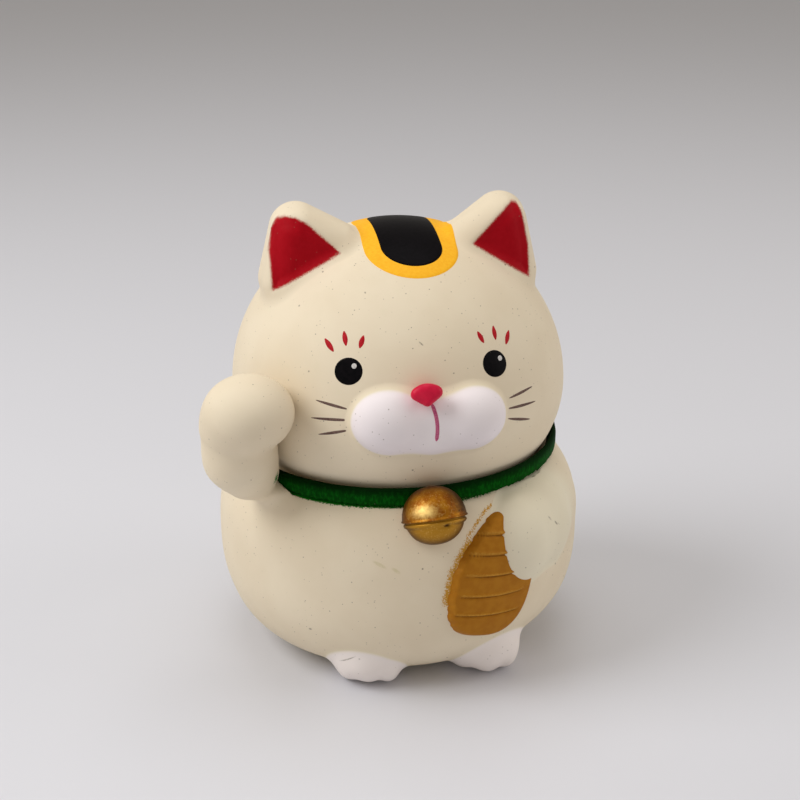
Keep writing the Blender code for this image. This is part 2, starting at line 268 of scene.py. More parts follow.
def collar_ring(points):
    """The room that the collar takes up, with a little air."""
    high = corners("collar")[1]
    inner, outer = RIM_RADIUS - 0.4, high[0] + 0.1
    bottom, top = LEDGE_Z, high[2] + 2.2
    radial = np.hypot(points[:, 0], points[:, 1])
    across = np.abs(radial - (inner + outer) / 2.0) - (outer - inner) / 2.0
    level = points[:, 2] - collar_lift(points)
    height = np.abs(level - (bottom + top) / 2.0) - (top - bottom) / 2.0 - 0.1
    return np.maximum(across, height)


def above_shoulder(points):
    """Everything above the ledge that the collar stands on."""
    return LEDGE_Z + collar_lift(points) - points[:, 2]


# ---- meshes


def gradient(field, points, step=0.02):
    columns = [field(points + axis) - field(points - axis) for axis in np.eye(3) * step]
    return np.stack(columns, axis=1) / (2.0 * step)


def unit(vectors):
    return vectors / np.maximum(np.linalg.norm(vectors, axis=-1, keepdims=True), 1e-9)


def settle(field, points, limit, rounds=2):
    """Moves points onto the surface of a field, each by no more than limit a round."""
    for _ in range(rounds):
        slope = gradient(field, points)
        steep = np.maximum((slope * slope).sum(axis=1), 1e-4)
        move = -slope * (field(points) / steep)[:, None]
        length = np.maximum(np.linalg.norm(move, axis=1, keepdims=True), 1e-9)
        points = points + move * np.minimum(1.0, limit / length)
    return points


CYCLES = ([0, 1, 2], [1, 2, 0], [2, 0, 1])


def net(field, low, high, cell=CELL):
    """A closed net of quads over the surface of a field, with one point in each cell it cuts."""
    axes = [np.arange(low[i] - cell, high[i] + 2.0 * cell, cell) for i in range(3)]
    grid = np.stack(np.meshgrid(*axes, indexing="ij"), axis=-1)
    values = field(grid.reshape(-1, 3)).reshape(grid.shape[:3])
    total = np.zeros([n - 1 for n in values.shape] + [3])
    count = np.zeros([n - 1 for n in values.shape])
    for order in CYCLES:
        near = values.transpose(order)
        spots = grid.transpose(order + [3])
        low_end, high_end = near[:-1], near[1:]
        crossed = (low_end < 0.0) != (high_end < 0.0)
        share = np.where(crossed, low_end / np.where(crossed, low_end - high_end, 1.0), 0.0)
        spot = spots[:-1] + share[..., None] * (spots[1:] - spots[:-1])
        spot = np.where(crossed[..., None], spot, 0.0)
        total_view = total.transpose(order + [3])
        count_view = count.transpose(order)
        rows, columns = crossed.shape[1:]
        for j in (0, 1):
            for k in (0, 1):
                total_view += spot[:, j : rows - 1 + j, k : columns - 1 + k]
                count_view += crossed[:, j : rows - 1 + j, k : columns - 1 + k]
    cut = count > 0
    number = np.full(count.shape, -1)
    number[cut] = np.arange(cut.sum())
    points = total[cut] / count[cut][:, None]
    quads = []
    for order in CYCLES:
        near = values.transpose(order)
        label = number.transpose(order)
        inner = near[:, 1:-1, 1:-1]
        crossed = (inner[:-1] < 0.0) != (inner[1:] < 0.0)
        ring = np.stack(
            [label[:, :-1, :-1], label[:, 1:, :-1], label[:, 1:, 1:], label[:, :-1, 1:]], axis=-1
        )[crossed]
        outward = (inner[:-1] < 0.0)[crossed]
        quads.append(np.where(outward[:, None], ring, ring[:, ::-1]))
    return settle(field, points, cell / 2.0), np.concatenate(quads)


def add_object(name, data):
    obj = bpy.data.objects.new(name, data)
    bpy.context.scene.collection.objects.link(obj)
    return obj


def add_mesh(name, points, faces, normals=None, marks=()):
    """An object from points in millimetres, with smooth shading and its paint marks."""
    mesh = bpy.data.meshes.new(name)
    mesh.from_pydata((points * MM).tolist(), [], [list(face) for face in faces])
    mesh.shade_smooth()
    for mark, values in dict(marks).items():
        layer = mesh.attributes.new(mark, "FLOAT", "POINT")
        layer.data.foreach_set("value", values.astype(np.float32))
    if normals is not None:
        mesh.normals_split_custom_set_from_vertices(normals.tolist())
    return add_object(name, mesh)


def full_turn(steps):
    """Angles evenly round a circle."""
    return np.arange(steps) * 2.0 * math.pi / steps


def circle(angles, radius, height, centre_y=0.0):
    """Points round a centre on the plane x = 0, at one height or at a height each."""
    heights = np.broadcast_to(height, angles.shape)
    return np.stack([radius * np.cos(angles), radius * np.sin(angles) + centre_y, heights], axis=1)


def ringed(rings, start=None, end=None):
    """Points and faces through rings of equal size, closed by end points, or joined end to end."""
    rings = np.asarray(rings, float)
    count, size = rings.shape[:2]
    points = rings.reshape(-1, 3)
    number = np.arange(count * size).reshape(count, size)
    if start is None:
        number = np.vstack([number, number[:1]])
    here, there = number[:-1], number[1:]
    faces = np.stack(
        [here, np.roll(here, -1, axis=1), np.roll(there, -1, axis=1), there], axis=-1
    ).reshape(-1, 4).tolist()
    if start is not None:
        points = np.vstack([points, start, end])
        first, last = number[0], number[-1]
        top, bottom = count * size, count * size + 1
        faces += [[top, b, a] for a, b in zip(first, np.roll(first, -1))]
        faces += [[bottom, a, b] for a, b in zip(last, np.roll(last, -1))]
    return points, faces


def facing_out(points, faces):
    """The same faces, turned round if they enclose a negative volume."""
    volume = 0.0
    for face in faces:
        a, b, c = points[face[0]], points[face[1]], points[face[2]]
        volume += a @ np.cross(b, c)
        if len(face) == 4:
            volume += a @ np.cross(c, points[face[3]])
    return faces if volume > 0.0 else [face[::-1] for face in faces]


def turned(profile, steps=256):
    """A profile of (radius, height) or (radius, height, shift along y), turned round z.

    Its first and last points are on the axis.
    """
    angles = full_turn(steps)
    rings = [circle(angles, *place) for place in profile[1:-1]]
    points, faces = ringed(rings, (0.0, 0.0, profile[0][1]), (0.0, 0.0, profile[-1][1]))
    return points, facing_out(points, faces)


# ---- blended limbs


HOSTS = {"head": head, "body": body}


def finish_piece(obj, carried_by, node, material):
    """Lets a piece ride on its body, in place of a CAD node if it stands for one."""
    obj.data.materials.append(material)
    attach(obj, carried_by)
    if node:
        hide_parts(node)


def add_limb(node, carried_by, limb, reach, space, skin, cuts=(), marks=(), cell=CELL):
    """A limb with a fillet onto its host, whose thin rim ends just under the host's surface."""
    host = HOSTS[carried_by]

    def solid(points):
        hosted, own = host(points), limb(points)
        fillet = reach(points) if callable(reach) else reach
        values = np.maximum(merge(hosted + SINK, own, fillet), -(hosted + SKIRT_DEPTH))
        values = np.maximum(values, own - fillet - SKIRT_MARGIN)
        for cut in cuts:
            values = np.maximum(values, -cut(points))
        return values

    points, faces = net(solid, *space, cell)
    hosted = host(points)
    proud = smooth(hosted, 0.0, 0.12)[:, None]
    near = np.abs(hosted) < 0.2
    own = unit(gradient(solid, points))
    host_normal = unit(gradient(host, points))
    normals = np.where(near[:, None], unit(own * proud + host_normal * (1.0 - proud)), own)
    found = {mark: work_out(points) for mark, work_out in dict(marks).items()}
    obj = add_mesh(node + "_skin", points, faces, normals, found)
    finish_piece(obj, carried_by, node, skin)


# ---- materials


class Paint:
    """A node material under construction."""

    def __init__(self, name):
        self.material = bpy.data.materials.new(name)
        self.material.use_nodes = True
        self.tree = self.material.node_tree
        self.shader = self.tree.nodes["Principled BSDF"]
        self.place = self.add("ShaderNodeTexCoord").outputs["Object"]

    def add(self, kind, inputs=(), **settings):
        """A new node with these settings, and these inputs by name or number."""
        node = self.tree.nodes.new(kind)
        for key, value in settings.items():
            setattr(node, key, value)
        for key, value in dict(inputs).items():
            self.put(node.inputs[key], value)
        return node

    def put(self, socket, value):
        """Joins a socket to another node's output, or sets it."""
        if isinstance(value, bpy.types.NodeSocket):
            self.tree.links.new(value, socket)
        elif socket.type == "RGBA":
            socket.default_value = (*value, 1.0)
        else:
            socket.default_value = value

    def math(self, operation, first, second=0.0):
        return self.add("ShaderNodeMath", {0: first, 1: second}, operation=operation).outputs[0]

    def mix(self, share, first, second):
        inputs = {"Factor": share, "A": first, "B": second}
        return self.add("ShaderNodeMix", inputs, data_type="RGBA").outputs["Result"]

    def layered(self, colour, layers):
        """A colour under layers, each with its cover, its tone and how strongly it shows."""
        for cover, tone, strength in layers:
            colour = self.mix(self.math("MULTIPLY", cover, strength), colour, tone)
        return colour

    def noise(self, size, detail=2.0, stretch=None, rough=0.5):
        """Cloudy noise from 0 to 1 with features of about this size in millimetres."""
        place = self.place
        if stretch:
            place = self.add("ShaderNodeMapping", {"Vector": place, "Scale": stretch}).outputs[0]
        inputs = {"Vector": place, "Scale": 1.0 / (size * MM), "Detail": detail, "Roughness": rough}
        return self.add("ShaderNodeTexNoise", inputs).outputs[0]

    def step(self, value, low, high):
        """0 on low's side and 1 on high's side, turning smoothly in between."""
        inputs = {"Value": value, "From Min": low, "From Max": high}
        return self.add("ShaderNodeMapRange", inputs, interpolation_type="SMOOTHSTEP").outputs["Result"]

    def specks(self, spacing, size, share):
        """Sparse round specks: 1 on a speck, with this share of the cells holding one."""
        cells = self.add("ShaderNodeTexVoronoi", {"Vector": self.place, "Scale": 1.0 / (spacing * MM)})
        dot = self.step(cells.outputs["Distance"], size / spacing, size / spacing * 0.5)
        split = self.add("ShaderNodeSeparateColor", {0: cells.outputs["Color"]})
        chosen = self.math("LESS_THAN", split.outputs[0], share)
        return self.math("MULTIPLY", dot, chosen)

    def scuff(self, centre, half, tilt):
        """A short scrape seen from the front: 1 along its middle, 0 outside its half sizes."""
        inputs = {
            "Vector": self.place,
            "Location": [value * MM for value in centre],
            "Rotation": (0.0, -math.radians(tilt), 0.0),
            "Scale": (half[0] * MM, SCUFF_DEPTH * MM, half[1] * MM),
        }
        flat = self.add("ShaderNodeMapping", inputs, vector_type="TEXTURE")
        far = self.add("ShaderNodeVectorMath", {0: flat.outputs["Vector"]}, operation="LENGTH")
        return self.step(far.outputs["Value"], 1.0, 0.4)

    def scuffs(self, places):
        """Several scrapes as one cover, broken up by fine noise."""
        cover = 0.0
        for place in places:
            cover = self.math("MAXIMUM", self.scuff(*place), cover)
        return self.math("MULTIPLY", cover, self.step(self.noise(0.35), 0.2, 0.5))

    def held(self, name):
        """A paint mark's own values, held in the mesh."""
        return self.add("ShaderNodeAttribute", attribute_name=name).outputs["Fac"]

    def mark(self, name, blur, wobble=0.0, size=0.5):
        """The cover of a paint mark, with a soft and uneven edge."""
        value = self.held(name)
        if wobble:
            shaken = self.math("SUBTRACT", self.noise(size), 0.5)
            value = self.math("ADD", value, self.math("MULTIPLY", shaken, wobble))
        return self.step(value, 0.5 - blur, 0.5 + blur)

    def bump(self, height, strength, distance):
        """Adds relief of this many millimetres to what the surface has."""
        inputs = {"Height": height, "Strength": strength, "Distance": distance * MM}
        socket = self.shader.inputs["Normal"]
        if socket.is_linked:
            inputs["Normal"] = socket.links[0].from_socket
        self.put(socket, self.add("ShaderNodeBump", inputs).outputs["Normal"])

    def uneven(self, lowest, extent, size, detail=2.0):
        """Values that go up from the lowest by as much as the extent, in clouds."""
        return self.math("ADD", lowest, self.math("MULTIPLY", self.noise(size, detail), extent))

    def finish(self, colour, roughness, shine=0.5, metallic=0.0):
        inputs = {
            "Base Color": colour, "Roughness": roughness,
            "Specular IOR Level": shine, "Metallic": metallic,
        }
        for key, value in inputs.items():
            self.put(self.shader.inputs[key], value)
        return self.material


CREAM = (0.77, 0.665, 0.50)
CREAM_LIGHT = (0.80, 0.70, 0.535)
CREAM_GREEN = (0.70, 0.65, 0.45)
RIM_YELLOW = (0.82, 0.75, 0.52)
WHITE = (0.86, 0.80, 0.86)
FOOT_WHITE = (0.90, 0.83, 0.79)
ARM_PALE = (0.83, 0.81, 0.65)
RED = (0.34, 0.001, 0.006)
RED_LIGHT = (0.42, 0.004, 0.012)
GREEN = (0.001, 0.045, 0.002)
GREEN_PAINTED_SHADE = (0.001, 0.008, 0.001)
GREEN_LIGHT = (0.004, 0.16, 0.006)
GOLD = (0.58, 0.30, 0.04)
OLIVE_GOLD = (0.43, 0.21, 0.018)
OLIVE = (0.45, 0.40, 0.12)
DIRT = (0.20, 0.16, 0.12)
SCUFF_DEPTH = 4.0
SCUFFS = [
    ((-0.9, -31.0, 76.5), (0.75, 0.20), -42.0),
    ((-10.5, -21.5, 84.7), (0.22, 0.20), 0.0),
    ((5.2, -33.4, 70.8), (0.25, 0.18), 0.0),
    ((-24.0, -30.1, 14.8), (0.42, 0.36), 0.0),
    ((26.1, -31.0, 37.3), (1.1, 0.22), -52.0),
    ((27.8, -31.0, 35.6), (0.9, 0.22), -55.0),
    ((-16.4, -31.5, 8.2), (2.6, 0.20), 36.0),
    ((17.8, -30.0, 7.0), (0.60, 0.28), -35.0),
]
SMUDGES = [((-10.6, -38.0, 32.4), (1.9, 0.5), -28.0), ((-7.4, -39.0, 31.2), (1.3, 0.5), -35.0)]


def skin_material(name, white=WHITE):
    """Matt sprayed cream, with the sprayed marks that a piece's mesh may hold."""
    paint = Paint(name)
    clouds = paint.step(paint.noise(14.0, 3.0), 0.35, 0.65)
    red = paint.mix(paint.noise(1.2, 3.0), RED, RED_LIGHT)
    dark = paint.math("ADD", paint.specks(1.5, 0.17, 0.5), paint.specks(4.0, 0.28, 0.6))
    dark = paint.math("ADD", dark, paint.specks(1.1, 0.12, 0.5))
    dark = paint.math("MULTIPLY", dark, paint.step(paint.noise(9.0), 0.35, 0.55))
    layers = [
        (paint.step(paint.noise(2.2, 4.0), 0.5, 0.8), CREAM_GREEN, 0.12),
        (paint.mark("white", 0.5, 0.10, 1.5), RIM_YELLOW, 0.55),
        (paint.step(paint.held("white"), 0.45, 0.98), white, 1.0),
        (paint.mark("pale", 0.5, 0.2, 1.5), ARM_PALE, 0.45),
        # An olive band on the raised arm along its gap beside the head.
        (paint.mark("olive_along_head", 0.45, 0.3, 0.8), OLIVE, 0.75),
        (paint.mark("green", 0.10, 0.9, 0.28), GREEN_LIGHT, 1.0),
        (paint.mark("gold", 0.08, 1.1, 0.26), GOLD, 1.0),
        (paint.mark("red", 0.16, 0.40, 0.22), red, 1.0),
        (dark, DIRT, 0.7),
        (paint.scuffs(SCUFFS), DIRT, 0.65),
        (paint.scuffs(SMUDGES), OLIVE, 0.30),
    ]
    colour = paint.layered(paint.mix(clouds, CREAM, CREAM_LIGHT), layers)
    paint.bump(paint.noise(0.9, 4.0, rough=0.6), 0.25, 0.02)
    paint.bump(paint.noise(7.0), 0.25, 0.06)
    return paint.finish(colour, paint.uneven(0.50, 0.12, 1.5, 3.0), shine=0.06)


def plain_paint(name, dark, light, roughness, grain=0.6, shine=0.08):
    """Brushed or printed paint: two tones, a slight relief and an uneven sheen."""
    paint = Paint(name)
    colour = paint.mix(paint.step(paint.noise(grain, 3.0), 0.3, 0.7), dark, light)
    paint.bump(paint.noise(grain * 0.6, 3.0), 0.3, 0.02)
    return paint.finish(colour, paint.uneven(roughness - 0.05, 0.1, grain * 2.0), shine=shine)


def gold_material(name, tones, roughness, wear, metallic, rim):
    """Gold paint whose grain is rubbed to bright flecks, with a painted highlight and painted shade
    from its marks. Its rim may carry painted shade, darker where it turns away, as on a lit ball.
    """
    dark, light, wear_and_highlight, painted_shade_tone = tones
    paint = Paint(name)
    clouds = paint.step(paint.noise(2.0, 4.0), 0.35, 0.65)
    flecks = paint.step(paint.noise(0.45, 3.0, rough=0.7), *wear)
    facing = paint.add("ShaderNodeLayerWeight").outputs["Facing"]
    layers = [
        (paint.mark("olive", 0.4, 0.4, 0.8), OLIVE_GOLD, 1.0),
        (flecks, wear_and_highlight, 0.32),
        # Painted highlight from the mark: bright where the light catches the bell's dome and the coin's
        # ridges.
        (paint.mark("wear_and_highlight", 0.4, 0.5, 0.5), wear_and_highlight, 1.0),
        # Painted shade: darker towards the edges, where the surface turns away from the eye.
        (paint.step(facing, 0.25, 0.85), painted_shade_tone, rim),
        # Painted shade from the mark: in the bell's dimple and on its far side, and in the coin's
        # grooves.
        (paint.mark("dent_shade", 0.3, 0.5, 0.5), painted_shade_tone, 1.0),
    ]
    colour = paint.layered(paint.mix(clouds, dark, light), layers)
    paint.bump(paint.noise(0.35, 3.0, rough=0.65), 0.6, 0.05)
    paint.bump(paint.noise(1.4), 0.3, 0.08)
    return paint.finish(colour, paint.uneven(roughness, 0.15, 0.8), shine=0.15, metallic=metallic)


# ---- head


def oval_outline(grow, stop, count):
    """Points down the side of the head from its top to an angle in degrees."""
    points = []
    for i in range(count + 1):
        angle = math.radians(90.0 + (stop - 90.0) * i / count)
        half = (HEAD_RISE if angle > 0.0 else HEAD_DROP) + grow
        radius = (HEAD_RADIUS + grow) * math.cos(angle)
        points.append((max(radius, 0.0) if i else 0.0, HEAD_CENTRE[2] + half * math.sin(angle)))
    return points


def make_head_shell(skin):
    """The hollow head, open at the neck hole."""
    outer_stop = -math.degrees(math.acos(NECK_HOLE_RADIUS / HEAD_RADIUS))
    inner_stop = -math.degrees(math.acos(NECK_HOLE_RADIUS / (HEAD_RADIUS - WALL)))
    outer = oval_outline(0.0, outer_stop, 150)
    inner = oval_outline(-WALL, inner_stop, 60)
    obj = add_mesh("head_skin", *turned(outer + inner[::-1]))
    finish_piece(obj, "head", "head_shell", skin)


EARS = {
    "right_ear": {
        "front": ((-21.8, 93.0), (-24.0, 83.0), (-14.2, 89.4)),
        "back": ((-21.9, 93.4), (-24.4, 83.0), (-14.2, 89.2)),
        "red": (
            (-28.0, 90.0), (-27.4, 94.6), (-26.3, 96.5), (-24.6, 97.3), (-22.6, 97.2),
            (-20.4, 96.1), (-13.8, 90.0), (-27.8, 82.2),
        ),
    },
    "left_ear": {
        "front": ((21.0, 93.5), (23.4, 83.0), (14.0, 89.2)),
        "back": ((21.4, 93.8), (23.5, 83.0), (14.6, 88.7)),
        "red": (
            (26.3, 89.4), (26.4, 82.6), (13.9, 90.5), (19.4, 96.0), (21.4, 97.7),
            (22.9, 98.4), (24.2, 97.9), (24.9, 96.2),
        ),
    },
}
EAR_FRONT_Y = -4.8
EAR_BACK_Y = -1.8
EAR_RED_Y = -4.0
EAR_RADIUS = 5.6
EAR_HOLLOW = 0.8
EAR_REACH = 2.4


def red_gap(ear):
    """Signed distance across the ear to the outline of its red hollow."""
    tips = np.array(ear["red"], float)

    def field(points):
        return outline_gap(points[:, [0, 2]], np.tile(tips, (len(points), 1, 1)))

    return field


def ear_field(ear):
    """A thick rolled ear with a shallow hollow in its front."""
    whole = wedge(ear["front"], ear["back"], EAR_FRONT_Y, EAR_BACK_Y, EAR_RADIUS)
    red = red_gap(ear)

    def field(points):
        hollow = smooth(-red(points), -0.8, 1.8) * smooth(-points[:, 1], -EAR_RED_Y, 6.0)
        return whole(points) + EAR_HOLLOW * hollow

    return field


def scalp(points):
    """The head with both ears, which the patch is laid on."""
    values = head(points) + SINK
    for ear in EARS.values():
        values = merge(values, ear_field(ear)(points), EAR_REACH)
    return values


def make_ear(node, skin):
    limb = ear_field(EARS[node])
    red = red_gap(EARS[node])

    def red_mark(points):
        """0.5 on the outline, and only on the ear's front."""
        return np.clip(0.5 - red(points) / 2.0, 0.0, 1.0) * (points[:, 1] < EAR_RED_Y)

    space = room(node, (4.0, 4.0, 5.0), (4.0, 4.0, 1.5))
    add_limb(node, "head", limb, EAR_REACH, space, skin, marks={"red": red_mark})


MUZZLE_LOBES = [
    ((-7.6, 2.43, -0.42), (8.0, 6.2, 6.9)),
    ((7.8, 2.43, -0.52), (7.8, 6.2, 6.7)),
    ((0.2, 1.73, -4.12), (6.0, 4.4, 3.4)),
    ((0.2, 1.73, 0.38), (6.0, 4.1, 4.6)),
]
MUZZLE_REACH = 1.8
LOBE_REACH = 2.4
muzzle = merged([oval(beside("muzzle", place), radii) for place, radii in MUZZLE_LOBES], LOBE_REACH)


def face(points):
    """The head with its muzzle, which the mouth is laid on."""
    return merge(head(points) + SINK, muzzle(points), MUZZLE_REACH)


def make_muzzle(skin):
    def white(points):
        return smooth(-muzzle(points) + smooth(head(points), 0.0, 1.2) * 0.6, -1.2, 1.2)

    space = room("muzzle", (3.0, 1.0, 3.0), (3.0, 4.0, 3.0))
    marks = {"white": white}
    add_limb("muzzle", "head", muzzle, MUZZLE_REACH, space, skin, marks=marks, cell=0.4)


NOSE_TIPS = ((-2.3, 0.45, 0.1), (1.8, 0.45, 0.4), (-0.25, -0.35, -1.0))
NOSE_RADIUS = 1.1
NOSE_BRIDGE = ((-0.2, 0.45, 0.6), (2.5, 1.3, 1.7))
NOSE_ROOT = ((-0.2, 2.25, -0.4), (2.3, 2.6, 1.5))
NOSE_CELL = 0.16


def make_nose():
    """A rounded triangle under a bridge, with a root that carries it on the head."""
    bridge, root = (oval(beside("nose", place), radii) for place, radii in (NOSE_BRIDGE, NOSE_ROOT))
    front = merged([triangle(*beside("nose", NOSE_TIPS), NOSE_RADIUS), bridge], 1.0)
    solid = merged([front, root], 0.8)
    points, faces = net(solid, *room("nose", 0.5, (0.5, 4.0, 0.5)), NOSE_CELL)
    obj = add_mesh("nose_skin", points, faces, unit(gradient(solid, points)))
    material = plain_paint(
        "nose_red", (0.56, 0.007, 0.042), (0.64, 0.011, 0.05), 0.35, grain=1.4, shine=0.15
    )
    finish_piece(obj, "head", "nose", material)


# ---- printed marks


def cast(field, points, direction, limit=60):
    """Where points moving along a direction first meet a surface."""
    for _ in range(limit):
        points = points + np.maximum(field(points), -0.5)[:, None] * direction
    return settle(field, points, 0.2)


FILM_EDGE = 0.1
FILM_DIP = 0.04
STROKE_BACK = 0.2


def film_disc(name, field, direction, outline, centre, rise=0.05, rings=12, back=0.25):
    """A closed film of paint: an outline shrunk towards its centre, laid on a surface."""
    outline = np.asarray(outline, float)
    centre = np.asarray(centre, float)
    reach = np.linalg.norm(outline - centre, axis=1).mean()
    shares = list(np.linspace(0.0, 1.0 - FILM_EDGE / reach, rings + 1)[1:]) + [1.0]
    tops, bottoms = [], []
    for share in shares:
        spots = cast(field, centre + (outline - centre) * share, direction)
        normals = unit(gradient(field, spots))
        tops.append(spots + normals * (rise if share < 1.0 else -FILM_DIP))
        bottoms.append(spots - normals * back)
    pole = cast(field, centre[None, :], direction)
    pole_normal = unit(gradient(field, pole))
    points, faces = ringed(tops + bottoms[::-1], pole + pole_normal * rise, pole - pole_normal * back)
    return add_mesh(name, points, facing_out(points, faces))


def film_stroke(name, field, direction, line, widths, rise=0.05):
    """A closed film of paint along a line, as wide at each point as widths says."""
    spots = cast(field, np.asarray(line, float), direction)
    normals = unit(gradient(field, spots))
    side = np.cross(unit(np.gradient(spots, axis=0)), normals)
    section = [
        (-1.0, -FILM_DIP), (-0.6, rise * 0.7), (0.0, rise), (0.6, rise * 0.7), (1.0, -FILM_DIP),
        (0.7, -STROKE_BACK), (-0.7, -STROKE_BACK),
    ]
    loops = []
    for across, height in section:
        at = settle(field, spots + side * (across * widths / 2.0)[:, None], 0.3)
        loops.append(at + unit(gradient(field, at)) * height)
    rings = np.stack(loops, axis=1)[1:-1]
    ends = (spots - normals * FILM_DIP)[[0, -1]]
    points, faces = ringed(rings, *ends)
    return add_mesh(name, points, facing_out(points, faces))


FORWARD = np.array([0.0, 1.0, 0.0])
UP = np.array([0.0, 0.0, 1.0])
DOWN = -UP
IN_FRONT = -46.0


def on_face(x, z):
    """A point before the face, given from the head's centre."""
    return np.array([x, IN_FRONT, z + HEAD_CENTRE[2]])


EYES = {
    "right_eye": ((-15.3, 12.4), (-14.15, 13.45)),
    "left_eye": ((14.25, 12.35), (15.45, 13.1)),
}
EYE_HALF = (2.95, 2.75)
GLINT_HALF = (0.6, 0.6)


def face_disc(name, spot, half, **film):
    """An oval film on the head, flat against it at its centre."""
    centre = cast(head, on_face(*spot)[None, :], FORWARD)
    normal = unit(gradient(head, centre))[0]
    level = unit(np.cross(DOWN, normal))
    rising = np.cross(normal, level)
    angles = full_turn(48)
    before = centre[0] + normal * 4.0
    outline = before + np.outer(np.cos(angles) * half[0], level)
    outline += np.outer(np.sin(angles) * half[1], rising)
    return film_disc(name, head, -normal, outline, before, **film)


def make_eyes():
    """Printed black eyes, each with a printed glint."""
    black = plain_paint(
        "eye_black", (0.003, 0.003, 0.0035), (0.006, 0.005, 0.006), 0.32, grain=0.8, shine=0.03
    )
    pale = plain_paint("eye_glint", (0.50, 0.48, 0.46), (0.72, 0.70, 0.68), 0.5, grain=0.35)
    for name, (centre, glint) in EYES.items():
        disc = face_disc(name, centre, EYE_HALF)
        finish_piece(disc, "head", None, black)
        spot = face_disc(name + "_glint", glint, GLINT_HALF, rise=0.09, rings=5, back=0.02)
        finish_piece(spot, "head", None, pale)


LASH_LENGTH = 2.65
LASH_WIDTH = 1.35
LASHES = [
    (-18.45, 16.6, 34.0), (-15.4, 18.1, 3.0), (-12.35, 17.8, -24.0),
    (11.6, 17.5, 27.0), (14.8, 17.7, 4.0), (17.7, 16.3, -27.0),
]
WHISKER_WIDTH = 0.78
WHISKERS = [
    ((-21.8, 6.1), (-15.4, 5.1)), ((-22.8, 2.3), (-14.6, 3.1)), ((-21.5, -1.0), (-15.4, 1.0)),
    ((23.1, 5.7), (17.0, 5.0)), ((24.0, 2.3), (16.4, 3.0)), ((22.6, -1.1), (16.7, 0.9)),
]
MOUTH_WIDTH = 0.98
MOUTH_LINE = [
    (0.05, 7.3), (0.45, 6.2), (0.8, 4.8), (1.0, 3.3), (1.05, 1.8), (0.95, 0.5), (0.75, -0.5),
]


def spindle(count, width, power=0.8):
    """Widths of a stroke that runs out to a point at both ends."""
    share = np.linspace(0.0, 1.0, count)
    return width * np.sin(math.pi * share) ** power


def make_lashes():
    red = plain_paint("lash_red", (0.36, 0.006, 0.012), (0.50, 0.012, 0.022), 0.5, grain=0.4)
    for index, (x, z, lean) in enumerate(LASHES):
        turn = math.radians(lean)
        reach = np.linspace(-0.5, 0.5, 15) * LASH_LENGTH
        line = [on_face(x - r * math.sin(turn), z + r * math.cos(turn)) for r in reach]
        stroke = film_stroke(f"lash_{index + 1}", head, FORWARD, line, spindle(15, LASH_WIDTH))
        finish_piece(stroke, "head", None, red)


def make_whiskers():
    brown = plain_paint("whisker_brown", (0.10, 0.06, 0.05), (0.20, 0.13, 0.11), 0.55, grain=0.3)
    for index, (outer, inner) in enumerate(WHISKERS):
        share = np.linspace(0.0, 1.0, 25)[:, None]
        flat = np.array(outer) * (1.0 - share) + np.array(inner) * share
        line = [on_face(x, z) for x, z in flat]
        widths = spindle(25, WHISKER_WIDTH, 0.6)
        stroke = film_stroke(f"whisker_{index + 1}", head, FORWARD, line, widths, rise=0.04)
        finish_piece(stroke, "head", None, brown)


def make_mouth():
    pink = plain_paint("mouth_pink", (0.42, 0.07, 0.17), (0.58, 0.16, 0.27), 0.5, grain=0.35)
    share = np.linspace(0.0, 1.0, 41)
    knot_share = np.linspace(0.0, 1.0, len(MOUTH_LINE))
    kernel = np.ones(7) / 7.0
    line = []
    for values in np.array(MOUTH_LINE).T:
        values = np.pad(np.interp(share, knot_share, values), 3, mode="edge")
        line.append(np.convolve(values, kernel, mode="valid"))
    line = [on_face(x, z) for x, z in zip(*line)]
    widths = MOUTH_WIDTH * np.minimum(1.0, np.sin(math.pi * share) * 2.5) ** 0.7
    stroke = film_stroke("mouth_line", face, FORWARD, line, widths)
    finish_piece(stroke, "head", None, pink)


PATCH_X = 0.65
PATCH_BACK_Y = 5.0
PATCHES = {"patch_yellow": (9.8, -11.4, 0.04), "patch_black": (6.4, -12.0, 0.08)}
ABOVE = 110.0


def long_round(half_width, front_y, count=40):
    """The outline of a strip with round ends, from above."""
    outline = []
    ends = (front_y, math.pi), (PATCH_BACK_Y, 0.0)
    for (centre_y, start), (other_y, _) in zip(ends, ends[::-1]):
        for angle in start + math.pi * np.arange(count) / (count - 1):
            x, y = PATCH_X + half_width * math.cos(angle), centre_y + half_width * math.sin(angle)
            outline.append((x, y, ABOVE))
        for share in np.linspace(0.0, 1.0, 22)[1:-1]:
            outline.append((x, centre_y + (other_y - centre_y) * share, ABOVE))
    return outline


def make_patch():
    """A black patch laid over a yellow one."""
    looks = {
        "patch_yellow": plain_paint("patch_yellow", (0.93, 0.44, 0.016), (0.96, 0.50, 0.024), 0.5),
        "patch_black": plain_paint(
            "patch_black", (0.003, 0.0025, 0.003), (0.005, 0.004, 0.005), 0.34, shine=0.02
        ),
    }
    for name, (half_width, front_y, rise) in PATCHES.items():
        outline = long_round(half_width, front_y)
        centre = (PATCH_X, (front_y + PATCH_BACK_Y) / 2.0, ABOVE)
        film = film_disc(name, scalp, DOWN, outline, centre, rise=rise, rings=24)
        finish_piece(film, "head", None, looks[name])


# ---- body


def cup(radii, deeper=0.0):
    """Profile points on the cup that the head nests in, or on the ceiling under it."""
    drop = HEAD_DROP + CUP_GAP + deeper
    shares = radii / (HEAD_RADIUS + CUP_GAP + deeper)
    return list(zip(radii, HEAD_CENTRE[2] - drop * np.sqrt(1.0 - shares * shares)))


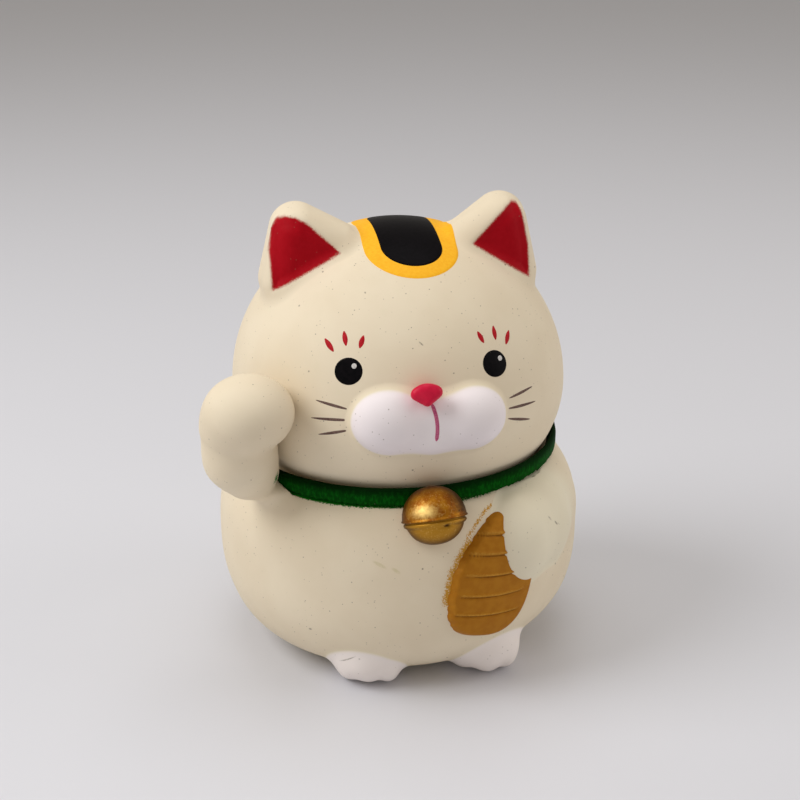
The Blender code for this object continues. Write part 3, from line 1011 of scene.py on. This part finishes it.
def make_body_shell(skin):
    """The hollow body with its rim, neck cup, flanged stud and base hole."""
    hole_y = middle("base_stopper")[1]
    hole_radius = corners("base_stopper")[1][0] + 0.3
    base_radius = body_radius(0.0)
    stud = [
        (0.0, FLANGE_TOP_Z), (3.0, FLANGE_TOP_Z), (FLANGE_RADIUS - 1.0, FLANGE_TOP_Z),
        (FLANGE_RADIUS - 0.3, FLANGE_TOP_Z - 0.3), (FLANGE_RADIUS, FLANGE_TOP_Z - 1.0),
        (FLANGE_RADIUS, FLANGE_LOW_Z), (STUD_RADIUS, FLANGE_LOW_Z),
    ]
    rim = [
        (32.6, RIM_Z - 0.1), (32.9, RIM_Z), (33.1, RIM_Z - 0.05), (RIM_RADIUS, RIM_Z - 0.3),
        (RIM_RADIUS, LEDGE_Z),
    ]
    heights = [*np.linspace(LEDGE_Z, BODY_CENTRE_Z, 70)[:-1], *np.linspace(BODY_CENTRE_Z, 0.0, 80)]
    outside = [(body_radius(z), z) for z in heights]
    underneath = [
        (base_radius - 0.3, 0.0), (base_radius * 0.7, 0.0, hole_y * 0.4),
        (hole_radius, 0.0, hole_y), (hole_radius, WALL, hole_y),
        (base_radius * 0.7, WALL, hole_y * 0.4),
    ]
    inside = [(body_radius(z, -WALL), z) for z in np.linspace(2.0, 39.0, 30)]
    ceiling = [(34.0, 40.5), (32.0, 40.6), *cup(np.linspace(30.0, 2.0, 20), WALL)]
    profile = stud + cup(np.linspace(STUD_RADIUS, 32.2, 40)) + rim + outside + underneath
    profile += inside + ceiling + [(0.0, ceiling[-1][1])]
    points, faces = turned(profile)
    outer = smooth(np.hypot(points[:, 0], points[:, 1]), 16.0, 20.0)
    points[:, 0] -= body_lean(points) * outer
    points = lifted_shoulder(points)
    marks = {"green": collar_spray(points), "gold": koban_spray(points)}
    obj = add_mesh("body_skin", points, faces, marks=marks)
    finish_piece(obj, "body", "body_shell", skin)


def lifted_shoulder(points):
    """Carries the shoulder's edge up with the collar that sits on it."""
    radial, level = np.hypot(points[:, 0], points[:, 1]), points[:, 2]
    outside = (radial > RIM_RADIUS + 0.02) & (level > 36.0) & (level < LEDGE_Z + 0.01)
    ledge = (np.abs(radial - RIM_RADIUS) < 0.02) & (np.abs(level - LEDGE_Z) < 0.01)
    share = smooth(level, 36.0, LEDGE_Z) * (outside | ledge)
    points = points + (collar_lift(points) * share)[:, None] * UP
    points[outside] = settle(body, points[outside], 3.0)
    return points


def collar_spray(points):
    """Green that strayed below the collar."""
    low = corners("collar")[0][2] + collar_lift(points)
    below = low - points[:, 2]
    cover = np.maximum(0.72 * smooth(-below, -1.6, 0.4), smooth(-below, -1.2, 0.2))
    outside = np.hypot(points[:, 0], points[:, 1]) > RIM_RADIUS - 0.1
    return cover * outside * (points[:, 2] < low + 1.0)


KOBAN_CENTRE = beside("koban", (1.1, -0.55, 0.0))
KOBAN_HALF_LENGTH = 14.0
KOBAN_HALF_WIDTH = 9.9
KOBAN_TOP_POWER = 1.5
KOBAN_FOOT_POWER = 2.8
KOBAN_LEAN = math.radians(13.5)
KOBAN_TURN = math.atan2(KOBAN_CENTRE[0], -KOBAN_CENTRE[1])
KOBAN_OUT = np.array([math.sin(KOBAN_TURN), -math.cos(KOBAN_TURN), 0.0])
KOBAN_LEVEL = np.array([math.cos(KOBAN_TURN), math.sin(KOBAN_TURN), 0.0])
KOBAN_ALONG = UP * math.cos(KOBAN_LEAN) + KOBAN_LEVEL * math.sin(KOBAN_LEAN)
KOBAN_ACROSS = KOBAN_LEVEL * math.cos(KOBAN_LEAN) - UP * math.sin(KOBAN_LEAN)
KOBAN_UNEVEN = ((17, 0.10), (31, 0.09), (47, 0.07))
KOBAN_HEIGHT = 1.5
KOBAN_SUNK = 0.6
KOBAN_TONES = ((0.38, 0.145, 0.006), (0.42, 0.17, 0.009), (0.70, 0.40, 0.07), (0.10, 0.04, 0.003))
KOBAN_LINE_SLOPE = 0.12
KOBAN_LINES = (35.8, 32.1, 27.9, 23.5, 19.4)


def koban_plan(points):
    """The coin's plane coordinates of points: across, along and how far out of the chest."""
    offset = points - KOBAN_CENTRE
    return offset @ KOBAN_ACROSS, offset @ KOBAN_ALONG, offset @ KOBAN_OUT


def koban_half_width(share):
    """The coin's half width at a share of its half length: narrowing upwards, full below."""
    share = np.clip(share, -1.0, 1.0)
    power = np.where(share > 0.0, KOBAN_TOP_POWER, KOBAN_FOOT_POWER)
    return KOBAN_HALF_WIDTH * (1.0 - np.abs(share) ** power) ** (1.0 / power)


def koban_outline(size):
    """The coin's outline, across and along it."""
    angles = full_turn(size)
    share = np.sin(angles)
    side = np.where(np.cos(angles) > 0.0, 1.0, -1.0)
    wide = koban_half_width(share)
    rough = sum(np.sin(angles * turns + turns) * reach for turns, reach in KOBAN_UNEVEN)
    wear_and_highlight = smooth(-np.cos(angles), 0.0, 0.6)
    return np.stack([side * (wide + rough * wear_and_highlight), share * KOBAN_HALF_LENGTH], axis=1)


def koban_spray(points):
    """Gold that strayed past the coin's upper and outer edge."""
    across, along, out = koban_plan(points)
    outline = koban_outline(240)
    gaps = np.hypot(across[:, None] - outline[:, 0], along[:, None] - outline[:, 1])
    distance = gaps.min(axis=1)
    side = smooth(-across + along * 0.35, 1.0, 6.0) * smooth(along, -9.0, -6.0)
    side *= smooth(-across, -3.6, -2.4)
    upper = smooth(along, 6.0, 11.5)
    ring = smooth(-distance, -2.4, -0.2) * (1.0 - upper)
    arc = smooth(-np.abs(distance - 0.9), -0.9, 0.0) * upper
    return (ring * 0.64 + arc * 0.62) * side * (out > -6.0)


COLLAR_SHADE = 0.75
COLLAR_UNEVEN = 0.08
COLLAR_WAVES = (23, 61, 127, 191, 293, 401)


def make_collar():
    """A brushed band with an uneven lower edge, and painted shade along its top."""
    low, high = corners("collar")
    angles = full_turn(1024)
    outer, inner = high[0], RIM_RADIUS + 0.3
    top, bottom = high[2], low[2]
    uneven = COLLAR_UNEVEN * sum(np.sin(angles * waves + waves * 1.7) for waves in COLLAR_WAVES)
    # Each place has its radius, its height, and its shares of the unevenness and of the lift.
    section = [
        (RIM_RADIUS - 0.5, RIM_Z + 0.1, 0.0, 0.0), (RIM_RADIUS - 0.1, top, 0.0, 0.2),
        (outer - 0.9, top + 0.8, 0.0, 0.8), (outer - 0.5, top + 0.8, 0.0, 1.0),
        (outer - 0.15, top + 0.4, 0.0, 1.0), (outer, top - 0.3, 0.0, 1.0), (outer, top - 1.2, 0.2, 1.0),
        (outer - 0.04, bottom + 0.8, 0.6, 1.0), (outer - 0.15, bottom + 0.35, 1.0, 1.0),
        (outer - 0.45, bottom + 0.1, 1.0, 1.0), (inner + 0.2, bottom + 0.1, 0.3, 1.0),
        (inner, bottom + 0.3, 0.0, 1.0), (inner, RIM_Z + 0.1, 0.0, 0.0),
    ]
    rings, shades = [], []
    for radius, height, rough, lifts in section:
        band = circle(angles, radius, height + uneven * rough)
        band[:, 2] += collar_lift(band) * lifts
        rings.append(band)
        # Painted shade: the band darkens towards its top, where the crevice under the head is.
        shades.append(np.full(len(angles), COLLAR_SHADE * smooth(height, top - 1.7, top + 0.5)))
    points, faces = ringed(rings)
    marks = {"shade": np.concatenate(shades)}
    obj = add_mesh("collar_band", points, facing_out(points, faces), marks=marks)
    paint = Paint("collar_green")
    streaks = paint.noise(0.5, 3.0, stretch=(1.0, 1.0, 0.5))
    colour = paint.mix(paint.step(streaks, 0.4, 0.75), GREEN, (0.003, 0.10, 0.005))
    # Painted shade towards near-black green at the top of the band.
    colour = paint.mix(paint.mark("shade", 0.5), colour, GREEN_PAINTED_SHADE)
    paint.bump(streaks, 0.5, 0.06)
    finish_piece(obj, "body", "collar", paint.finish(colour, 0.6, shine=0.02))


BELL_RADIUS = 6.55
BELL_LOW_RADIUS = 5.95
BELL_BAND_RADIUS = 6.75
BELL_RISE = 6.6
BELL_DROP = 5.2
BELL_ROLL = math.radians(-4.5)
BELL_PITCH = math.radians(-22.0)
BELL_CENTRE_LOWER = -0.6
BELL_DENT = ((0.24, -0.94, -0.22), (0.13, 0.06))
BELL_DENT_DEPTH = 0.5
BELL_SHINE = ((-0.40, -0.88, 0.30), (0.40, 0.22))
BELL_TONES = ((0.27, 0.08, 0.002), (0.40, 0.16, 0.007), (0.95, 0.66, 0.22), (0.06, 0.022, 0.003))


def bell_profile():
    """The domed upper shell, the crease under its lip and the smaller lower shell."""
    points = []
    for i in range(45):
        angle = math.radians(90.0 - 87.0 * i / 44)
        radius = BELL_RADIUS * math.cos(angle) ** 0.95 if i else 0.0
        points.append((radius, BELL_RISE * math.sin(angle) ** 0.95))
    points += [
        (BELL_BAND_RADIUS - 0.04, 0.28), (BELL_BAND_RADIUS, 0.14), (BELL_BAND_RADIUS - 0.06, 0.0),
        (BELL_LOW_RADIUS + 0.25, -0.10), (BELL_LOW_RADIUS + 0.12, -0.22),
        (BELL_LOW_RADIUS + 0.22, -0.34), (BELL_LOW_RADIUS + 0.42, -0.50),
        (BELL_LOW_RADIUS + 0.46, -0.80), (BELL_LOW_RADIUS + 0.30, -1.10),
    ]
    for i in range(1, 41):
        angle = math.radians(-13.0 - 77.0 * i / 40)
        radius = BELL_LOW_RADIUS * math.cos(angle) ** 0.95 if i < 40 else 0.0
        points.append((radius, -BELL_DROP * abs(math.sin(angle)) ** 0.95))
    return points


def bell_spot(points, towards, spread):
    """1 where the bell faces a direction, fading out across and up from there."""
    away = unit(points) - unit(np.array(towards))
    fade = np.exp(-((away[:, 0] / spread[0]) ** 2) - ((away[:, 2] / spread[1]) ** 2))
    return fade * (points[:, 1] < 0.0)


def make_bell():
    points, faces = turned(bell_profile(), 128)
    dent_shade = bell_spot(points, *BELL_DENT)
    # Painted shade over the dome's +x side, turned away from the key light.
    far_side_shade = smooth(points[:, 0], -1.0, 5.5) * smooth(points[:, 2], 0.2, 1.2)
    marks = {
        # Painted shade: darker in the dimple and over the dome's far side.
        "dent_shade": np.maximum(dent_shade, far_side_shade * 0.62),
        # Painted highlight on the dome's lower left, where the light catches it.
        "wear_and_highlight": bell_spot(points, *BELL_SHINE) * 0.8,
        "olive": smooth(-points[:, 2], -0.1, 0.3),
    }
    points = points - unit(points) * dent_shade[:, None] * BELL_DENT_DEPTH
    tilt = np.array(Matrix.Rotation(BELL_ROLL, 3, "Y") @ Matrix.Rotation(BELL_PITCH, 3, "X"))
    centre = middle("bell") + (0.0, 0.0, BELL_CENTRE_LOWER)
    centre[1] = corners("bell")[0][1] + BELL_BAND_RADIUS
    obj = add_mesh("bell_casting", points @ tilt.T + centre, faces, marks=marks)
    material = gold_material("bell_gold", BELL_TONES, 0.40, wear=(0.52, 0.75), metallic=0.6, rim=0.8)
    finish_piece(obj, "body", "bell", material)


def koban_relief(points, level):
    """The height of the coin's face over the chest: eased rim and five level lines."""
    across, _, _ = koban_plan(points)
    lip, groove = np.zeros(len(points)), np.zeros(len(points))
    for line_z in KOBAN_LINES:
        above = points[:, 2] - line_z + KOBAN_LINE_SLOPE * across - 0.008 * across**2
        fade = smooth(-np.abs(across + 0.6), -8.0, -6.6)
        lip += np.exp(-(((above - 0.45) / 0.32) ** 2)) * fade
        groove += np.exp(-((above / 0.2) ** 2)) * fade
    height = KOBAN_HEIGHT + 0.22 * lip - 0.32 * groove
    edge = smooth(level, 0.86, 1.0)
    return height * (1.0 - edge) ** 0.5 - 0.3 * edge, lip, groove


def make_koban():
    """An oval coin laid on the chest, which it follows."""
    outline = koban_outline(160)
    levels = np.concatenate([np.linspace(0.0, 0.86, 70)[1:], np.linspace(0.87, 1.0, 14)])
    start = KOBAN_CENTRE + KOBAN_OUT * 8.0

    def rests(level):
        flat = start + level * outline @ np.array([KOBAN_ACROSS, KOBAN_ALONG])
        spots = cast(body, flat, -KOBAN_OUT, 40)
        return spots, unit(gradient(body, spots))

    tops, bottoms, lips, grooves = [], [], [], []
    for level in levels:
        spots, normals = rests(level)
        height, lip, groove = koban_relief(spots, level)
        tops.append(spots + normals * height[:, None])
        lips.append(lip)
        grooves.append(groove)
    for level in levels[::-4]:
        spots, normals = rests(level)
        bottoms.append(spots - normals * KOBAN_SUNK)
    spots, normals = rests(0.0)
    ends = spots[0] + normals[0] * KOBAN_HEIGHT, spots[0] - normals[0] * KOBAN_SUNK
    points, faces = ringed(tops + bottoms, *ends)
    rest = np.zeros(len(points) - len(levels) * len(outline))
    marks = {
        # Painted highlight along the upper lip of each line, where the light catches the real ridge.
        "wear_and_highlight": np.concatenate(lips + [rest]) * 0.42,
        # Painted shade in each groove under its lip, over the real relief.
        "dent_shade": np.concatenate(grooves + [rest]) * 0.56,
    }
    obj = add_mesh("koban_coin", points, facing_out(points, faces), marks=marks)
    material = gold_material("koban_gold", KOBAN_TONES, 0.48, wear=(0.66, 0.85), metallic=0.2, rim=0.0)
    finish_piece(obj, "body", "koban", material)


def bars(joints, radii):
    """Round bars from joint to joint."""
    return [tapered(*bar) for bar in zip(joints, joints[1:], radii, radii[1:])]


PAW = ((0.2, -4.01, 9.59), (9.2, 8.8, 7.8))
FOREARM = ((-1.8, -1.61, 5.89), (-1.4, 0.19, -1.11), (0.6, 2.99, -5.81))
FOREARM_RADII = (7.7, 6.8, 6.0)
ELBOW_REACH = 3.5
WRIST_REACH = 1.8
GREEN_SPLASH = ((6.0, -0.61, -6.61), (2.4, 3.6, 4.2))


def make_raised_arm(skin):
    """The bent-up arm, whose fillet onto the body is widest at its foot and inner side."""
    forearm = merged(bars(beside("raised_arm", FOREARM), FOREARM_RADII), ELBOW_REACH)
    limb = merged([forearm, oval(beside("raised_arm", PAW[0]), PAW[1])], WRIST_REACH)

    def near_head(points):
        return head(points) - 0.45

    # An olive band on the arm along the gap beside the head, above z = 50.
    def olive_along_head(points):
        return smooth(-head(points), -1.1, -0.45) * (points[:, 2] > 50.0) * 0.8

    def green(points):
        centre, radii = GREEN_SPLASH
        spot = np.linalg.norm((points - beside("raised_arm", centre)) / radii, axis=1)
        return smooth(-spot, -1.0, 0.2) * 0.8

    def reach(points):
        inner = smooth(points[:, 0], -38.0, -31.0)
        return 1.6 + (4.6 + 1.6 * inner) * smooth(-points[:, 2], -46.5, -42.8)

    space = room("raised_arm", (1.0, 9.0, 13.0), (12.0, 12.0, 1.0))
    cuts = (near_head, collar_ring)
    marks = {"olive_along_head": olive_along_head, "green": green}
    add_limb("raised_arm", "body", limb, reach, space, skin, cuts=cuts, marks=marks)


LEFT_ARM = ((4.29, 9.88, -1.13), (-1.31, -1.02, -1.53), (-7.41, -7.72, -1.83))
LEFT_ARM_RADII = (5.2, 7.4, 7.9)
LEFT_ARM_TALL = 1.3
LEFT_ARM_REACH = 1.5


def make_left_arm(skin):
    """The arm laid over the coin's edge, which it meets sharply, and soft at the shoulder."""
    joints = beside("left_arm", LEFT_ARM)
    level = joints[1][2]

    def pressed(points):
        """Points moved towards the elbow's level, so that round bars come out tall."""
        return points * (1.0, 1.0, 1.0 / LEFT_ARM_TALL) + level * (1.0 - 1.0 / LEFT_ARM_TALL) * UP

    chain = merged(bars(pressed(joints), LEFT_ARM_RADII), LEFT_ARM_REACH)

    def limb(points):
        return chain(pressed(points))

    def reach(points):
        shoulder = smooth(points[:, 0] + 0.6 * (points[:, 2] - 33.0), 22.0, 34.0)
        return 1.1 + 2.6 * shoulder

    def pale(points):
        return smooth(-limb(points), -2.2, 0.0)

    space = room("left_arm", (5.0, 5.0, 6.0), (3.0, 8.0, 2.0))
    cuts = (collar_ring, above_shoulder)
    add_limb("left_arm", "body", limb, reach, space, skin, cuts=cuts, marks={"pale": pale})


# Each foot's middle beside its node's, and its toes' places from there.
FEET = {
    "right_foot": ((0.06, -0.14), ((-4.0, 2.2), (-0.1, 0.7), (3.8, -0.3))),
    "left_foot": ((-0.15, -0.24), ((-4.4, 2.2), (0.2, -0.2), (4.2, 0.9))),
}
FOOT_HEIGHT = 7.0
FOOT_RADII = (7.6, 7.6, 6.6)
TOE_HEIGHT = 5.2
TOE_RADII = (3.4, 6.7, 5.2)
TOE_REACH = 1.2
FOOT_REACH = 2.2


def under_floor(points):
    return points[:, 2]


def make_foot(node, skin):
    """A white foot with three soft toes, flat on the floor."""
    place, toes = FEET[node]
    x, y = middle(node)[:2] + place
    balls = [oval((x, y, FOOT_HEIGHT), FOOT_RADII)]
    balls += [oval((x + toe_x, y + toe_y, TOE_HEIGHT), TOE_RADII) for toe_x, toe_y in toes]
    limb = merged(balls, TOE_REACH)

    def white(points):
        return smooth(-limb(points), -2.5, -0.5)

    space = room(node, (3.0, 5.0, 0.0), (3.0, 5.0, 7.0))
    add_limb(
        node, "body", limb, FOOT_REACH, space, skin, (under_floor,), {"white": white}, 0.35
    )


TAIL = ((0.0, -2.68, -2.29), (0.0, -0.38, 2.71))
TAIL_RADII = (5.0, 4.2)
TAIL_REACH = 3.0


def make_tail(skin):
    limb = bars(beside("tail", TAIL), TAIL_RADII)[0]
    add_limb("tail", "body", limb, TAIL_REACH, room("tail", 4.0, (4.0, 2.0, 4.0)), skin)


def make_stopper():
    """A soft plug with an eased lip and a grip groove."""
    low, high = corners("base_stopper")
    radius = high[0]
    profile = [
        (0.0, high[2]), (radius - 1.2, high[2]), (radius - 0.6, high[2] - 0.25),
        (radius - 0.4, high[2] - 0.9), (radius, low[2] + 0.9), (radius - 0.05, low[2] + 0.35),
        (radius - 0.4, low[2]), (radius - 1.6, low[2]), (radius - 1.9, low[2] + 0.35),
        (radius - 2.6, low[2] + 0.45), (0.0, low[2] + 0.45),
    ]
    points, faces = turned(profile, 96)
    obj = add_mesh("stopper_plug", points + (0.0, middle("base_stopper")[1], 0.0), faces)
    material = plain_paint("stopper_rubber", (0.55, 0.50, 0.42), (0.62, 0.57, 0.48), 0.7, grain=0.8)
    finish_piece(obj, "stopper", "base_stopper", material)


# ---- studio


FLOOR_HALF = 3.0
AIM = (0.0, 0.0, 0.05)
# Each lamp's place, size, watts and colour.
LAMPS = {
    "key": ((-0.53, -0.06, 0.56), 0.50, 3.35, (1.0, 1.0, 1.0)),
    "top": ((0.05, 0.12, 0.80), 0.60, 1.6, (1.0, 1.0, 1.0)),
    "side": ((0.65, -0.10, 0.30), 0.50, 1.2, (1.0, 0.96, 0.92)),
    "bounce": ((-0.15, -0.50, 0.06), 0.3, 0.12, (1.0, 0.94, 0.86)),
}
SKY = (1.0, 0.935, 0.85, 1.0)
SKY_STRENGTH = 0.38
CAMERA_PLACE = (-0.05826, -0.32380, 0.178)
CAMERA_FORWARD = (0.16683, 0.91982, -0.35511)
CAMERA_LENS = 72.0
CAMERA_SENSOR = 36.0


def make_floor():
    mesh = bpy.data.meshes.new("floor")
    half = FLOOR_HALF
    tips = [(-half, -half, 0.0), (half, -half, 0.0), (half, half, 0.0), (-half, half, 0.0)]
    mesh.from_pydata(tips, [], [(0, 1, 2, 3)])
    mesh.materials.append(Paint("floor_pale").finish((0.68, 0.685, 0.73), 0.5))
    add_object("floor", mesh)


def look(obj, place, direction):
    obj.location = place
    obj.rotation_euler = Vector(direction).to_track_quat("-Z", "Y").to_euler()


def add_lamp(name, place, size, watts, colour):
    data = bpy.data.lights.new(name, "AREA")
    data.shape = "DISK"
    data.size = size
    data.energy = watts
    data.color = colour
    look(add_object(name, data), place, Vector(AIM) - Vector(place))


def make_studio():
    scene = bpy.context.scene
    make_floor()
    for name, lamp in LAMPS.items():
        add_lamp(name, *lamp)
    scene.world = bpy.data.worlds.new("studio")
    scene.world.use_nodes = True
    sky = scene.world.node_tree.nodes["Background"]
    sky.inputs["Color"].default_value = SKY
    sky.inputs["Strength"].default_value = SKY_STRENGTH
    scene.view_settings.view_transform = "Standard"


def make_camera():
    data = bpy.data.cameras.new("camera")
    data.lens = CAMERA_LENS
    data.sensor_width = CAMERA_SENSOR
    data.clip_start = 0.01
    bpy.context.scene.camera = add_object("camera", data)
    look(bpy.context.scene.camera, CAMERA_PLACE, CAMERA_FORWARD)


def main():
    cream = skin_material("cream_skin")
    make_head_shell(cream)
    for node in EARS:
        make_ear(node, cream)
    make_muzzle(cream)
    for make in (make_nose, make_eyes, make_lashes, make_whiskers, make_mouth, make_patch):
        make()
    make_body_shell(cream)
    for make in (make_collar, make_bell, make_koban):
        make()
    make_raised_arm(cream)
    make_left_arm(cream)
    feet = skin_material("foot_skin", FOOT_WHITE)
    for node in FEET:
        make_foot(node, feet)
    make_tail(cream)
    make_stopper()
    make_studio()
    make_camera()


main()
